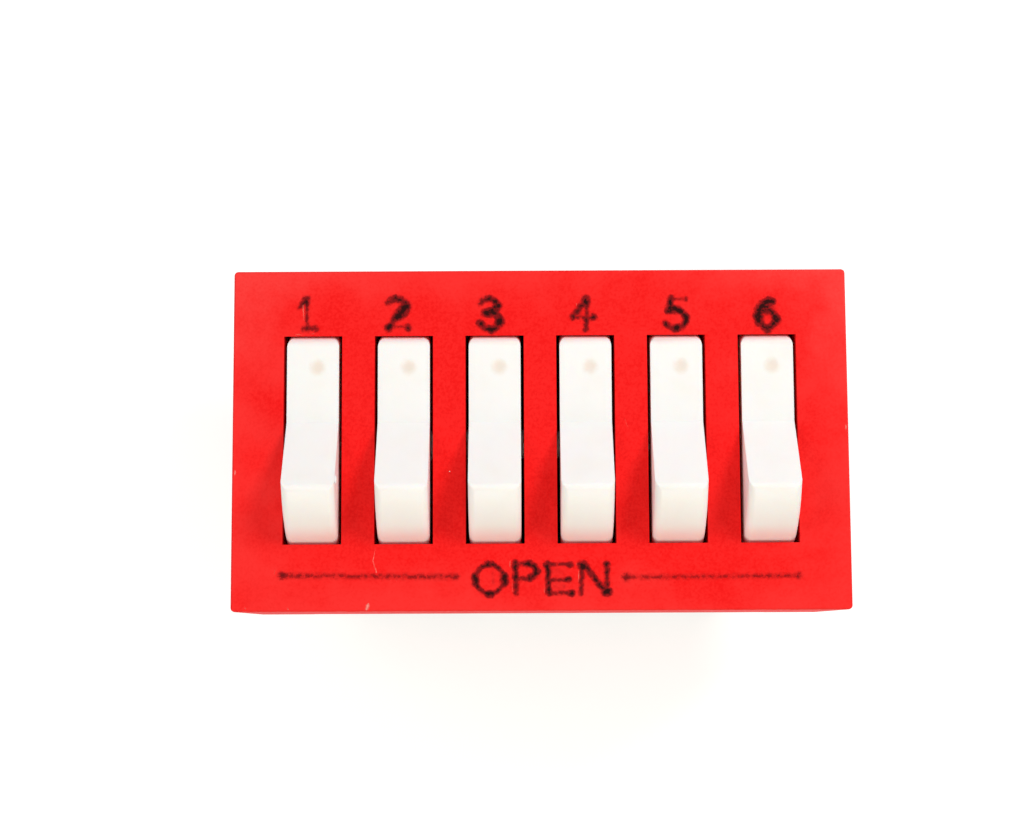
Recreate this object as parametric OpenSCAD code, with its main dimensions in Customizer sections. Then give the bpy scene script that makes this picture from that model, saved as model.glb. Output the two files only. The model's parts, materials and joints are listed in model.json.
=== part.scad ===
// Raised-rocker DIP switch with six positions, in millimetres.
// The origin is the centre of the terminal field on the board's surface.
// +X runs along the row from position 1 to position 6, +Y points to the numbered side, +Z is up.
// Each rocker carries a spring and a ball, which rolls along a curved track of two stamped terminals.
// All rockers stand closed: their wing on the numbered side is pressed level with the face.

/* [Grid] */
// Number of positions in the row
poles = 6; // [1:1:12]
// Distance from one position to the next
pitch = 2.54; // [2.5:0.01:3.2]
// Distance between the two rows of terminals
row_spacing = 7.62; // [7.4:0.01:10.16]

/* [Cover] */
// Height of the face above the board
face_h = 6.1; // [5.8:0.05:8]
// Height of the standoff feet
foot_h = 0.35; // [0.2:0.05:0.45]
// Length of a corner foot along the row
foot_l = 1.7; // [1:0.1:2.2]
// Thickness of the face plate
plate_t = 0.9; // [0.75:0.05:0.95]
// Thickness of the wall round the base
wall_t = 0.7; // [0.6:0.05:0.75]
// Distance from a terminal row to the long side of the body
side_land = 0.955; // [0.9:0.005:1.6]
// Wall outside the last bearing rib
end_wall = 0.51; // [0.45:0.01:1.5]
// Wall left round the coring pockets in the ends of the cover
core_wall = 0.4; // [0.3:0.05:0.5]
// Length of a coring pocket across the row
core_l = 2.4; // [1:0.1:2.8]
// Radius of the four upright corners
corner_r = 0.14; // [0.05:0.01:0.6]
// Radius round the edge of the face
edge_r = 0.07; // [0.03:0.01:0.3]

/* [Slots] */
// Length of a slot, measured on the face
slot_l = 5.82; // [4.84:0.02:6.9]
// Width of a slot
slot_w = 1.63; // [1.5:0.01:1.96]

/* [Rockers] */
// Depth of the pivot below the face
pivot_depth = 1.46; // [1.4:0.01:1.8]
// Angle from the middle of the travel to either end, in degrees
half_throw = 18; // [12:0.5:18]
// Radius of the upper edge of a wing's tip
tip_r = 0.2; // [0.05:0.01:0.3]
// Radius of the upright edges of a wing's end
wing_edge_r = 0.2; // [0.05:0.01:0.3]
// Depth of the rocker's underside below its pivot
rocker_under = 0.85; // [0.75:0.05:1]
// Reach of the stop toes beyond the wing's end
toe_reach = 0.35; // [0.25:0.01:0.4]
// Thickness of the roof over a wing's pocket
roof_t = 0.75; // [0.6:0.05:1]
// Thickness of the rocker's skin beside and behind a pocket
skin_t = 0.3; // [0.25:0.01:0.4]
// Radius of the trunnions
trunnion_r = 0.42; // [0.3:0.01:0.52]
// Length of a trunnion beside the rocker
trunnion_l = 0.36; // [0.25:0.01:0.4]
// Wall of the stem before and behind its bore
stem_wall = 0.3; // [0.2:0.01:0.35]
// Height of the bore's end above the pivot
bore_top = 0.1; // [0:0.05:0.5]
// Diameter of the dimple on the numbered wing
dimple_d = 0.36; // [0.2:0.02:0.8]
// Depth of the dimple
dimple_depth = 0.02; // [0.02:0.01:0.1]
// Distance from the pivot's upright plane to the dimple on the level wing
dimple_y = 2.1; // [1.2:0.02:2.3]
// Sideways offset of the dimple
dimple_x = 0.12; // [0:0.01:0.2]

/* [Contacts] */
// Radius of a contact ball
ball_r = 0.42; // [0.35:0.01:0.51]
// Diameter of the spring's wire
wire_d = 0.12; // [0.08:0.01:0.15]
// Turns of a contact spring
turns = 6; // [4:1:7]
// Width of the gap between the terminals and of the detent hole
detent_w = 0.3; // [0.2:0.01:0.4]
// Thickness of the terminal strip
strip_t = 0.25; // [0.2:0.01:0.3]
// Depth of the curved track below the terminals' level runs
cradle_depth = 0.484; // [0.35:0.001:0.6]
// Width of a terminal's leg
leg_w = 0.51; // [0.4:0.01:0.6]
// Length of a leg below the board's surface
leg_l = 3.3; // [2.5:0.1:4.5]
// Width of a leg's tip
leg_tip_w = 0.3; // [0.2:0.01:0.4]
// Height of a leg's tapered tip
leg_tip_h = 0.35; // [0.2:0.05:0.6]
// Inner radius of a terminal's bend
bend_r = 0.15; // [0.1:0.01:0.25]

/* [Base and seal] */
// Height of the seal's underside above the board
seal_z = 0.5; // [0.4:0.05:0.7]
// Thickness of the seal
seal_t = 0.4; // [0.3:0.05:0.6]
// Thickness of the base under the curved track
floor_t = 0.49; // [0.35:0.01:0.8]

/* [Clearances] */
// Gap between a rocker's side and its slot
side_gap = 0.09; // [0.04:0.01:0.1]
// Gap between a wing's end and the end of its slot
end_gap = 0.07; // [0.05:0.01:0.12]
// Radial gap round a trunnion
bearing_gap = 0.03; // [0.02:0.01:0.06]
// Gap between a stop toe and the face plate at the end of the travel
stop_gap = 0.02; // [0.01:0.01:0.05]
// Gap round the base inside the cover
fit_gap = 0.03; // [0.02:0.01:0.06]
// Gap between a bearing post and the rib that it fits into
post_gap = 0.02; // [0.01:0.01:0.05]
// Radial gap round a ball in its bore
ball_gap = 0.03; // [0.02:0.01:0.05]
// Gap between a seated ball and the terminals' edges
seat_gap = 0.005; // [0.002:0.001:0.02]
// Gap between the stem's corners and the track
stem_gap = 0.15; // [0.1:0.01:0.25]
// Gap on each side of a strip in its cell
strip_gap = 0.2; // [0.1:0.01:0.3]

/* [Hidden] */
$fn = 64;
// Overlap of a cutting tool with the air beyond a face
eps = 0.01;

// Cover
rib_t = pitch - slot_w;
body_l = poles * pitch + rib_t + 2 * end_wall;
body_w = row_spacing + 2 * side_land;
plate_z = face_h - plate_t;
inner_l = body_l - 2 * wall_t;
inner_w = body_w - 2 * wall_t;

// Pivot, and the radii that are concentric with it
pivot_z = face_h - pivot_depth;
slot_end_r = sqrt(pow(slot_l / 2, 2) + pow(pivot_depth, 2));
rocker_r = slot_end_r - end_gap;
base_z = seal_z + seal_t;
track_r = pivot_z - base_z - floor_t - strip_t;
bearing_r = trunnion_r + bearing_gap;

// Base
base_top = base_z + floor_t + cradle_depth;
post_top = pivot_z - 0.56 * bearing_r;
run_top = base_top + strip_t;

// Rocker, in its own frame: origin on the pivot, stem straight down
rocker_w = slot_w - 2 * side_gap;
valley_h = pivot_depth / cos(half_throw);
stop_h = pivot_depth - plate_t - stop_gap;
bore_r = ball_r + ball_gap;
stem_t = 2 * (bore_r + stem_wall);
stem_end = sqrt(pow(track_r - stem_gap, 2) - pow(stem_t / 2, 2));

// Ball and spring
detent_a = asin(detent_w / 2 / track_r);
ball_h = track_r * cos(detent_a) - sqrt(pow(ball_r, 2) - pow(detent_w / 2, 2)) - seat_gap;
wire_r = wire_d / 2;
coil_gap = 0.02;
coil_r = bore_r - wire_r - coil_gap;
coil_low = sqrt(pow(ball_r + wire_r + seat_gap, 2) - pow(coil_r, 2)) - ball_h;
coil_high = bore_top - wire_r - seat_gap;
strip_w = slot_w - 2 * strip_gap;

// X of position i, counted from 1
function pole_x(i) = (i - (poles + 1) / 2) * pitch;

// X of bearing rib i, counted from 0
function rib_x(i) = (i - poles / 2) * pitch;

// Height over the pivot of a line that leans back by a degrees and passes h from the pivot
function leaning(y, h, a) = (h + y * sin(a)) / cos(a);

// Cylinder along X, centred
module rod(r, l) {
    rotate([0, 90, 0]) cylinder(r = r, h = l, center = true);
}

// Prism along X, centred, of an outline drawn in Y and Z
module prism_x(l) {
    rotate([90, 0, 90]) linear_extrude(height = l, center = true) children();
}

// Box that is centred in X and Y and stands between two heights
module block(l, w, z0, z1) {
    translate([-l / 2, -w / 2, z0]) cube([l, w, z1 - z0]);
}

// Rectangle from (-l/2, 0) to (l/2, h) with both upper corners rounded
module round_topped(l, h, r) {
    translate([-l / 2, 0]) square([l, h - r]);
    translate([-l / 2 + r, 0]) square([l - 2 * r, h]);
    for (s = [-1, 1]) {
        translate([s * (l / 2 - r), h - r]) circle(r = r);
    }
}

// Rectangle with four rounded corners, centred
module round_square(l, w, r) {
    square([l, w - 2 * r], center = true);
    square([l - 2 * r, w], center = true);
    for (sx = [-1, 1], sy = [-1, 1]) {
        translate([sx * (l / 2 - r), sy * (w / 2 - r)]) circle(r = r);
    }
}

// Outer form of the cover, with its edges rounded
module cover_form() {
    intersection() {
        linear_extrude(height = face_h) round_square(body_l, body_w, corner_r);
        rotate([90, 0, 0]) linear_extrude(height = 2 * body_w, center = true) {
            round_topped(body_l, face_h, edge_r);
        }
        prism_x(2 * body_l) round_topped(body_w, face_h, edge_r);
    }
}

// Air under the walls, between the standoff feet
module foot_relief() {
    difference() {
        block(2 * body_l, 2 * body_w, -eps, foot_h);
        for (sx = [-1, 1], sy = [-1, 1]) {
            translate([sx * (body_l - foot_l) / 2, sy * (body_w - wall_t) / 2, 0]) {
                block(foot_l, wall_t, -2 * eps, foot_h + eps);
            }
        }
    }
}

// Room for one rocker: its cell under the plate, and the slot with ends concentric with the pivot
module rocker_cell() {
    block(slot_w, inner_w, base_top - eps, plate_z);
    translate([0, 0, pivot_z]) rod(slot_end_r, slot_w);
}

// Notch in a rib that a trunnion enters from below
module bearing_notch() {
    translate([0, 0, pivot_z]) rod(bearing_r, rib_t + 2 * eps);
    block(rib_t + 2 * eps, 2 * bearing_r, base_top - eps, pivot_z);
}

// Coring pocket beside the last bearing, which keeps the moulding's ends from sinking; open to the base
module core_pocket() {
    near = (poles - 1) / 2 * pitch + slot_w / 2 + core_wall;
    translate([(near + body_l / 2 - core_wall) / 2, bearing_r + core_wall + core_l / 2, 0]) {
        block(body_l / 2 - core_wall - near, core_l, base_top - eps, plate_z);
    }
}

module cover() {
    color("red") difference() {
        cover_form();
        foot_relief();
        block(inner_l, inner_w, -eps, base_top);
        for (i = [1:poles]) {
            translate([pole_x(i), 0, 0]) rocker_cell();
        }
        for (i = [0:poles]) {
            translate([rib_x(i), 0, 0]) bearing_notch();
        }
        for (mx = [0, 1], my = [0, 1]) {
            mirror([mx, 0, 0]) mirror([0, my, 0]) core_pocket();
        }
    }
}

// Post that closes a bearing from below
module bearing_post() {
    difference() {
        block(rib_t - 2 * post_gap, 2 * (bearing_r - post_gap), base_top - eps, post_top);
        translate([0, 0, pivot_z]) rod(bearing_r, rib_t);
    }
}

// Slots at the base's edge through which one pole's two legs pass down
module leg_ways() {
    way = side_land - wall_t + strip_t / 2 + bend_r;
    for (s = [-1, 1]) {
        translate([0, s * (inner_w / 2 - way / 2 + eps), 0]) {
            block(leg_w + 2 * post_gap, way + 2 * eps, base_z - eps, base_top + eps);
        }
    }
}

module base() {
    base_l = inner_l - 2 * fit_gap;
    base_w = inner_w - 2 * fit_gap;
    color("dimgray") difference() {
        union() {
            block(base_l, base_w, base_z, base_top);
            intersection() {
                block(base_l, base_w, base_z, face_h);
                for (i = [0:poles]) {
                    translate([rib_x(i), 0, 0]) bearing_post();
                }
            }
        }
        for (i = [1:poles]) {
            translate([pole_x(i), 0, 0]) {
                translate([0, 0, pivot_z]) rod(track_r + strip_t + seat_gap, slot_w);
                leg_ways();
            }
        }
    }
}

module seal() {
    color("saddlebrown") difference() {
        block(inner_l, inner_w, seal_z, base_z);
        for (i = [1:poles], s = [-1, 1]) {
            translate([pole_x(i), s * row_spacing / 2, 0]) {
                block(leg_w, strip_t, seal_z - eps, base_z + eps);
            }
        }
    }
}

// Side view of half a rocker, on the side where Y is positive, without its stem
module wing_outline() {
    reach = rocker_r + toe_reach;
    fillet_r = rocker_r - tip_r;
    fillet_h = pivot_depth - tip_r;
    // Angle from +Y to the centre of the tip's rounding
    fillet_a = asin(fillet_h / fillet_r) + half_throw;
    fillet_at = fillet_r * [cos(fillet_a), sin(fillet_a)];
    tip_a = asin(pivot_depth / rocker_r) + half_throw;
    difference() {
        intersection() {
            circle(r = rocker_r);
            polygon([
                [-eps, -rocker_under],
                [reach, -rocker_under],
                [reach, leaning(reach, pivot_depth, half_throw)],
                [0, valley_h],
                [-eps, valley_h]
            ]);
        }
        polygon([
            fillet_at + tip_r * [-sin(half_throw), cos(half_throw)],
            1.02 * rocker_r * [cos(tip_a), sin(tip_a)],
            rocker_r * [cos(fillet_a), sin(fillet_a)]
        ]);
    }
    translate(fillet_at) circle(r = tip_r);
}

// Side view of the stop toe at the foot of a wing
module toe_outline() {
    reach = rocker_r + 2 * toe_reach;
    root = rocker_r - 2 * toe_reach;
    intersection() {
        circle(r = rocker_r + toe_reach);
        polygon([
            [root, -rocker_under],
            [reach, -rocker_under],
            [reach, leaning(reach, stop_h, -half_throw)],
            [root, leaning(root, stop_h, -half_throw)]
        ]);
    }
}

// Hollow in a wing's underside, which leaves a roof, two cheeks and an end
module wing_pocket() {
    near = stem_t / 2 + skin_t;
    prism_x(rocker_w - 2 * skin_t) intersection() {
        circle(r = rocker_r - 1.5 * skin_t);
        polygon([
            [near, -rocker_under - eps],
            [rocker_r, -rocker_under - eps],
            [rocker_r, leaning(rocker_r, pivot_depth - roof_t, half_throw)],
            [near, leaning(near, pivot_depth - roof_t, half_throw)]
        ]);
    }
}

// Disc about the pivot whose rim has rounded edges, so that the wings' ends have them too
module rim_disc() {
    flat = rocker_w / 2 - wing_edge_r;
    rotate([0, 90, 0]) rotate_extrude() {
        translate([0, -rocker_w / 2]) square([rocker_r - wing_edge_r, rocker_w]);
        translate([0, -flat]) square([rocker_r, 2 * flat]);
        for (s = [-1, 1]) {
            translate([rocker_r - wing_edge_r, s * flat]) circle(r = wing_edge_r);
        }
    }
}

// Solid wing with its stop toe, on the side where Y is positive
module wing() {
    intersection() {
        prism_x(rocker_w) wing_outline();
        rim_disc();
    }
    prism_x(rocker_w) toe_outline();
}

// Rocker in its own frame, in the middle of its travel
module rocker_form() {
    dimple_r = (pow(dimple_d / 2, 2) + pow(dimple_depth, 2)) / (2 * dimple_depth);
    difference() {
        union() {
            for (s = [0, 1]) {
                mirror([0, s, 0]) wing();
            }
            block(rocker_w, stem_t, -stem_end, 0);
            rod(trunnion_r, rocker_w + 2 * trunnion_l);
        }
        for (s = [0, 1]) {
            mirror([0, s, 0]) wing_pocket();
        }
        translate([0, 0, -stem_end - eps]) cylinder(r = bore_r, h = stem_end + bore_top + eps);
        rotate([half_throw, 0, 0]) {
            translate([dimple_x, dimple_y, pivot_depth + dimple_r - dimple_depth]) {
                sphere(r = dimple_r);
            }
        }
    }
}

// Puts what is drawn in a rocker's own frame where position i stands at rest
module at_rocker(i) {
    translate([pole_x(i), 0, pivot_z]) rotate([-half_throw, 0, 0]) children();
}

module rocker(i) {
    color("white") at_rocker(i) rocker_form();
}

module contact_ball(i) {
    color("gold") at_rocker(i) translate([0, 0, -ball_h]) sphere(r = ball_r);
}

// Height of the wire's centre after u turns, with a closed turn at each end
function coil_z(u, l) =
    u < 1 ? u * wire_d * 1.05
    : u > turns - 1 ? l - (turns - u) * wire_d * 1.05
    : wire_d * 1.05 + (u - 1) * (l - 2.1 * wire_d) / (turns - 2);

// Ring of the wire's corners after u turns
function wire_ring(u, l, sides) = [
    for (k = [0:sides - 1])
        let (
            a = 360 * u,
            b = 360 * k / sides,
            r = coil_r + wire_r * cos(b)
        )
        [r * cos(a), r * sin(a), coil_z(u, l) + wire_r * sin(b)]
];

// Compression spring whose wire's centre line starts at z = 0 and ends at z = l
module coil(l) {
    sides = 6;
    steps = 14 * turns;
    points = [for (n = [0:steps]) each wire_ring(n * turns / steps, l, sides)];
    walls = [
        for (n = [0:steps - 1], k = [0:sides - 1])
            let (
                a = n * sides + k,
                b = n * sides + (k + 1) % sides
            )
            [a, b, b + sides, a + sides]
    ];
    first = [for (k = [0:sides - 1]) sides - 1 - k];
    last = [for (k = [0:sides - 1]) steps * sides + k];
    polyhedron(points, concat(walls, [first, last]));
}

module contact_spring(i) {
    color("silver") at_rocker(i) translate([0, 0, coil_low]) coil(coil_high - coil_low);
}

// Sector about the pivot between two angles, which count from straight down toward +Y
module sector(a0, a1, l) {
    far = 2 * track_r;
    prism_x(l) polygon([
        [0, 0],
        [far * sin(a0), -far * cos(a0)],
        [far * sin(a1), -far * cos(a1)]
    ]);
}

// Curved track of a terminal between two angles, under its level run
module track(a0, a1) {
    intersection() {
        translate([0, 0, pivot_z]) difference() {
            rod(track_r + strip_t, strip_w);
            rod(track_r, strip_w + 2 * eps);
        }
        translate([0, 0, pivot_z]) sector(a0, a1, strip_w);
        block(strip_w, inner_w, base_z, run_top);
    }
}

// Leg with its bend, and the level run that leads to the track, on the side where Y is positive
module lead() {
    row = row_spacing / 2;
    bend_y = row - strip_t / 2 - bend_r;
    bend_z = base_top - bend_r;
    run_y = sqrt(pow(track_r, 2) - pow(pivot_z - run_top, 2));
    translate([0, row, 0]) rotate([90, 0, 0]) linear_extrude(height = strip_t, center = true) {
        polygon([
            [-leg_tip_w / 2, -leg_l],
            [leg_tip_w / 2, -leg_l],
            [leg_w / 2, leg_tip_h - leg_l],
            [leg_w / 2, bend_z],
            [-leg_w / 2, bend_z],
            [-leg_w / 2, leg_tip_h - leg_l]
        ]);
    }
    intersection() {
        translate([0, bend_y, bend_z]) difference() {
            rod(bend_r + strip_t, leg_w);
            rod(bend_r, leg_w + 2 * eps);
        }
        translate([-leg_w / 2, bend_y, bend_z]) cube([leg_w, row, row]);
    }
    translate([-strip_w / 2, run_y, base_top]) cube([strip_w, bend_y - run_y, strip_t]);
}

module terminal_a(i) {
    color("goldenrod") translate([pole_x(i), 0, 0]) difference() {
        union() {
            lead();
            track(detent_a - half_throw, 60);
        }
        translate([0, 0, pivot_z]) rotate([half_throw, 0, 0]) {
            translate([0, 0, -track_r - 2 * strip_t]) cylinder(r = detent_w / 2, h = 3 * strip_t);
        }
    }
}

module terminal_b(i) {
    color("goldenrod") translate([pole_x(i), 0, 0]) {
        mirror([0, 1, 0]) lead();
        track(-60, -detent_a - half_throw);
    }
}

cover();
base();
seal();
for (i = [1:poles]) {
    rocker(i);
    contact_spring(i);
    contact_ball(i);
    terminal_a(i);
    terminal_b(i);
}
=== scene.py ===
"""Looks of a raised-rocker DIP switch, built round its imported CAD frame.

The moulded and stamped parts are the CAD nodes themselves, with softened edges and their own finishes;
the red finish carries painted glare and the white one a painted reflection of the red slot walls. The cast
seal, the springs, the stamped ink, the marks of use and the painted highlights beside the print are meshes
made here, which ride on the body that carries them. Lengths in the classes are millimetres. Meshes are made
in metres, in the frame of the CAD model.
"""

import json
import logging
import math
from dataclasses import dataclass
from enum import Enum
from typing import Any, Mapping, Sequence

import bpy
from mathutils import Matrix, Vector, noise


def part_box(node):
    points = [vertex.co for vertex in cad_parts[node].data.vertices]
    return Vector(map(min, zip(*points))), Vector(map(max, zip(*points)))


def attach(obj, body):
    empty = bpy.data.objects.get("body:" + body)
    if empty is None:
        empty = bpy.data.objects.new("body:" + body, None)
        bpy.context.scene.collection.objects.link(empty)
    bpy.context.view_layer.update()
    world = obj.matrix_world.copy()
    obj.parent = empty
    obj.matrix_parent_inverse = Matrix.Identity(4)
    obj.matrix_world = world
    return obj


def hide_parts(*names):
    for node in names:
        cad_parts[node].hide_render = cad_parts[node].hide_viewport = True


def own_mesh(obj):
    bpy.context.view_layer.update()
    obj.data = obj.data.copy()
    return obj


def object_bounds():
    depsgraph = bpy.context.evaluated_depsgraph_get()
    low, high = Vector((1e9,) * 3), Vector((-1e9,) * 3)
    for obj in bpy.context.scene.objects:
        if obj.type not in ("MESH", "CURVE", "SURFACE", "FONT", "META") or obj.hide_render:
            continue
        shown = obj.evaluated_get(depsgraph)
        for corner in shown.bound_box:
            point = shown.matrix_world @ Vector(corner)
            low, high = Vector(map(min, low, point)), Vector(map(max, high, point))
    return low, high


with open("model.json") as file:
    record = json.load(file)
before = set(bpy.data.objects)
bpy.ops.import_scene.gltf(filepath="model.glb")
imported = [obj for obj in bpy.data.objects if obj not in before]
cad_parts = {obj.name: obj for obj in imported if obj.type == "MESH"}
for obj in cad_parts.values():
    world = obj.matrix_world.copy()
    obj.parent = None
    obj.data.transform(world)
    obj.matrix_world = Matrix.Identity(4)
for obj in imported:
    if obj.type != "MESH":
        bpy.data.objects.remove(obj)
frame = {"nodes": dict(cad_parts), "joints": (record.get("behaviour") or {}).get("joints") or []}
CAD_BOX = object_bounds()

MM = 0.001
SAME_POINT = 0.0005
LOG = logging.getLogger("dip_switch")

Rgb = tuple[float, float, float]
Place = tuple[float, float, float]
Point = tuple[float, float]
Range = tuple[float, float]


# ------------------------------------------------------------------ shader graph


class Wire:
    """A node's output that takes part in Python expressions; each operation adds its Math node."""

    def __init__(self, graph: "Graph", socket: bpy.types.NodeSocket) -> None:
        """Keeps the graph that new nodes go into and the socket that this wire starts from."""
        self.graph = graph
        self.socket = socket

    def _maths(self, operation: str, *operands: "Value") -> "Wire":
        """Adds a Math node of that operation and returns its output."""
        return self.graph.node("ShaderNodeMath", {"operation": operation}, dict(enumerate(operands)))

    def __add__(self, other: "Value") -> "Wire":
        """The sum of this wire and a number or wire."""
        return self._maths("ADD", self, other)

    def __radd__(self, other: "Value") -> "Wire":
        """The sum of a number and this wire."""
        return self._maths("ADD", other, self)

    def __sub__(self, other: "Value") -> "Wire":
        """This wire less a number or wire."""
        return self._maths("SUBTRACT", self, other)

    def __rsub__(self, other: "Value") -> "Wire":
        """A number less this wire."""
        return self._maths("SUBTRACT", other, self)

    def __mul__(self, other: "Value") -> "Wire":
        """The product of this wire and a number or wire."""
        return self._maths("MULTIPLY", self, other)

    def __rmul__(self, other: "Value") -> "Wire":
        """The product of a number and this wire."""
        return self._maths("MULTIPLY", other, self)

    def __truediv__(self, other: "Value") -> "Wire":
        """This wire divided by a number or wire."""
        return self._maths("DIVIDE", self, other)

    def __rtruediv__(self, other: "Value") -> "Wire":
        """A number divided by this wire."""
        return self._maths("DIVIDE", other, self)

    def __pow__(self, other: "Value") -> "Wire":
        """This wire raised to a power."""
        return self._maths("POWER", self, other)

    def fraction(self) -> "Wire":
        """What is left of this wire above the next lower whole number."""
        return self._maths("FRACT", self)

    def larger(self, other: "Value") -> "Wire":
        """The larger of this wire and a number or wire."""
        return self._maths("MAXIMUM", self, other)

    def scaled(self, low: float, high: float) -> "Wire":
        """Stretches this wire so that 0 becomes low and 1 becomes high."""
        return low + (high - low) * self

    def between(self, low: float, high: float) -> "Wire":
        """Stretches this wire smoothly and clamps it.

        Args:
            low: The value that becomes 0.
            high: The value that becomes 1.

        Returns:
            The stretched and clamped wire.
        """
        settings = {"clamp": True, "interpolation_type": "SMOOTHSTEP"}
        return self.graph.node("ShaderNodeMapRange", settings, {0: self, 1: low, 2: high})


Value = Wire | float | int | Sequence[float]


class Graph:
    """A node tree, and the one way in which nodes get into it.

    A noise's seed moves it along SEED_WAY.
    """

    SEED_WAY = (1.0, 0.7, -1.0)

    def __init__(self, owner: bpy.types.Material | bpy.types.World) -> None:
        """Empties a node tree.

        Args:
            owner: The material or world that it belongs to.
        """
        self.owner = owner
        owner.use_nodes = True
        self.tree = owner.node_tree
        self.tree.nodes.clear()

    @classmethod
    def of(cls, name: str) -> "Graph":
        """Makes a new material of that name and returns its graph."""
        return cls(bpy.data.materials.new(name))

    def _add(
        self, kind: str, settings: Mapping[str, Any], sockets: Mapping[str | int, Value]
    ) -> bpy.types.Node:
        """Adds a node, sets its properties and then its sockets.

        Args:
            kind: Blender's name of the node's type.
            settings: Its properties.
            sockets: Values or wires, by the input's name or number.

        Returns:
            The node.
        """
        made = self.tree.nodes.new(kind)
        for key, value in settings.items():
            setattr(made, key, value)
        for key, value in sockets.items():
            if isinstance(value, Wire):
                self.tree.links.new(value.socket, made.inputs[key])
            else:
                made.inputs[key].default_value = value
        return made

    def node(
        self,
        kind: str,
        settings: Mapping[str, Any] | None = None,
        sockets: Mapping[str | int, Value] | None = None,
        out: str | int = 0,
    ) -> Wire:
        """Adds one node.

        Args:
            kind: Blender's name of the node's type.
            settings: Properties, which are set before the sockets.
            sockets: Values or wires, by the input's name or number.
            out: Name or number of the output that is returned.

        Returns:
            The chosen output.
        """
        return Wire(self, self._add(kind, settings or {}, sockets or {}).outputs[out])

    def close(self, kind: str, surface: Wire) -> None:
        """Adds the output node that the surface goes into."""
        self._add(kind, {}, {"Surface": surface})

    def place(self) -> Wire:
        """Object coordinates, which are metres in the CAD frame."""
        return self.node("ShaderNodeTexCoord", out="Object")

    def axes(self) -> tuple[Wire, Wire, Wire]:
        """The three object coordinates in millimetres, one wire each."""
        place = {0: self.place()}
        return tuple(self.node("ShaderNodeSeparateXYZ", sockets=place, out=name) / MM for name in "XYZ")

    def noise(self, grain: float, detail: float = 2.0, rough: float = 0.5, seed: float = 0.0) -> Wire:
        """Adds a noise texture.

        Args:
            grain: Size of its largest grains in millimetres.
            detail: Number of finer layers.
            rough: Share of each finer layer.
            seed: Offset in metres that tells one noise from another.

        Returns:
            Its value, which is about 0.5 on average.
        """
        shift = {0: self.place(), 1: [seed * way for way in self.SEED_WAY]}
        moved = self.node("ShaderNodeVectorMath", {"operation": "ADD"}, shift)
        sockets = {"Vector": moved, "Scale": 1.0 / (grain * MM), "Detail": detail, "Roughness": rough}
        return self.node("ShaderNodeTexNoise", {"noise_dimensions": "3D"}, sockets, out="Fac")

    def film_cover(self) -> Wire:
        """The cover that a film's mesh carries at each point."""
        return self.node("ShaderNodeAttribute", {"attribute_name": Film.LAYER}, out="Fac")

    def mixed(self, share: Value, first: Wire | Rgb, second: Wire | Rgb) -> Wire:
        """Mixes two colours.

        Args:
            share: How much of the second colour shows.
            first: Colour at share 0.
            second: Colour at share 1.

        Returns:
            The mixed colour.
        """
        colours = [c if isinstance(c, Wire) else (*c, 1.0) for c in (first, second)]
        sockets = {0: share, 6: colours[0], 7: colours[1]}
        return self.node("ShaderNodeMix", {"data_type": "RGBA"}, sockets, out=2)

    def bump(self, height: Wire, depth: float) -> Wire:
        """Turns a height map into a surface normal.

        Args:
            height: The map.
            depth: How many millimetres 1 on the map stands over 0.

        Returns:
            The normal.
        """
        return self.node("ShaderNodeBump", {}, {"Distance": depth * MM, "Height": height}, out="Normal")

    def surface(self, sockets: Mapping[str, Value]) -> bpy.types.Material:
        """Finishes the material with one Principled shader.

        Args:
            sockets: Its inputs.

        Returns:
            The finished material.
        """
        self.close("ShaderNodeOutputMaterial", self.node("ShaderNodeBsdfPrincipled", {}, sockets))
        return self.owner


# ---------------------------------------------------------------------- finishes


@dataclass(frozen=True)
class RedMoulding:
    """Matte red thermoplastic with the grain of a spark-eroded mould.

    Painted glare makes the top face paler towards its edges, and palest at the two corners on the numbered
    side.
    """

    half_x: float
    half_y: float
    face: float
    colour: Rgb = (0.925, 0.0112, 0.0100)
    shade: Rgb = (0.840, 0.0022, 0.0020)
    glare_haze: Rgb = (0.910, 0.0240, 0.0215)
    pale: Rgb = (0.910, 0.0420, 0.0380)
    cloud_size: float = 1.6
    ripple_size: float = 0.32
    grain_size: float = 0.075
    tone_shares: tuple[float, float, float] = (0.15, 0.65, 0.2)
    tone_range: Range = (0.34, 0.62)
    painted_glare_range: Range = (0.4, 1.1)
    painted_glare_cloud: float = 1.4
    painted_glare_share: Range = (0.45, 1.25)
    painted_glare_depth: float = 0.6
    corner_range: Range = (1.0, 1.9)
    roughness: Range = (0.45, 0.65)
    relief: float = 0.008

    def build(self) -> bpy.types.Material:
        """Builds the finish.

        Returns:
            The material.
        """
        g = Graph.of("red_moulding")
        cloud = g.noise(self.cloud_size, detail=3.0, rough=0.55, seed=0.031)
        grain = g.noise(self.grain_size, rough=0.6, seed=0.012)
        ripple = g.noise(self.ripple_size, seed=0.044)
        x, y, z = g.axes()
        across = x * x / self.half_x**2
        outward = across.larger(y * y / self.half_y**2)
        # painted glare: the face's red is paled towards its edges, and most at the numbered side's corners
        edges = (outward + (cloud - 0.5) * self.painted_glare_cloud).between(*self.painted_glare_range)
        painted_glare = edges * z.between(self.face - self.painted_glare_depth, self.face)
        corner = (across + y / self.half_y).between(*self.corner_range)
        cloud_share, grain_share, ripple_share = self.tone_shares
        tone = (cloud * cloud_share + grain * grain_share + ripple * ripple_share).between(*self.tone_range)
        plain = g.mixed(tone, self.shade, self.colour)
        glare_tone = g.mixed(corner, self.glare_haze, self.pale)
        return g.surface(
            {
                "Base Color": g.mixed(painted_glare * grain.scaled(*self.painted_glare_share), plain, glare_tone),
                "Roughness": grain.scaled(*self.roughness),
                "Normal": g.bump(grain * 0.5 + ripple, self.relief),
                "Specular IOR Level": 0.14,
            }
        )


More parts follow.
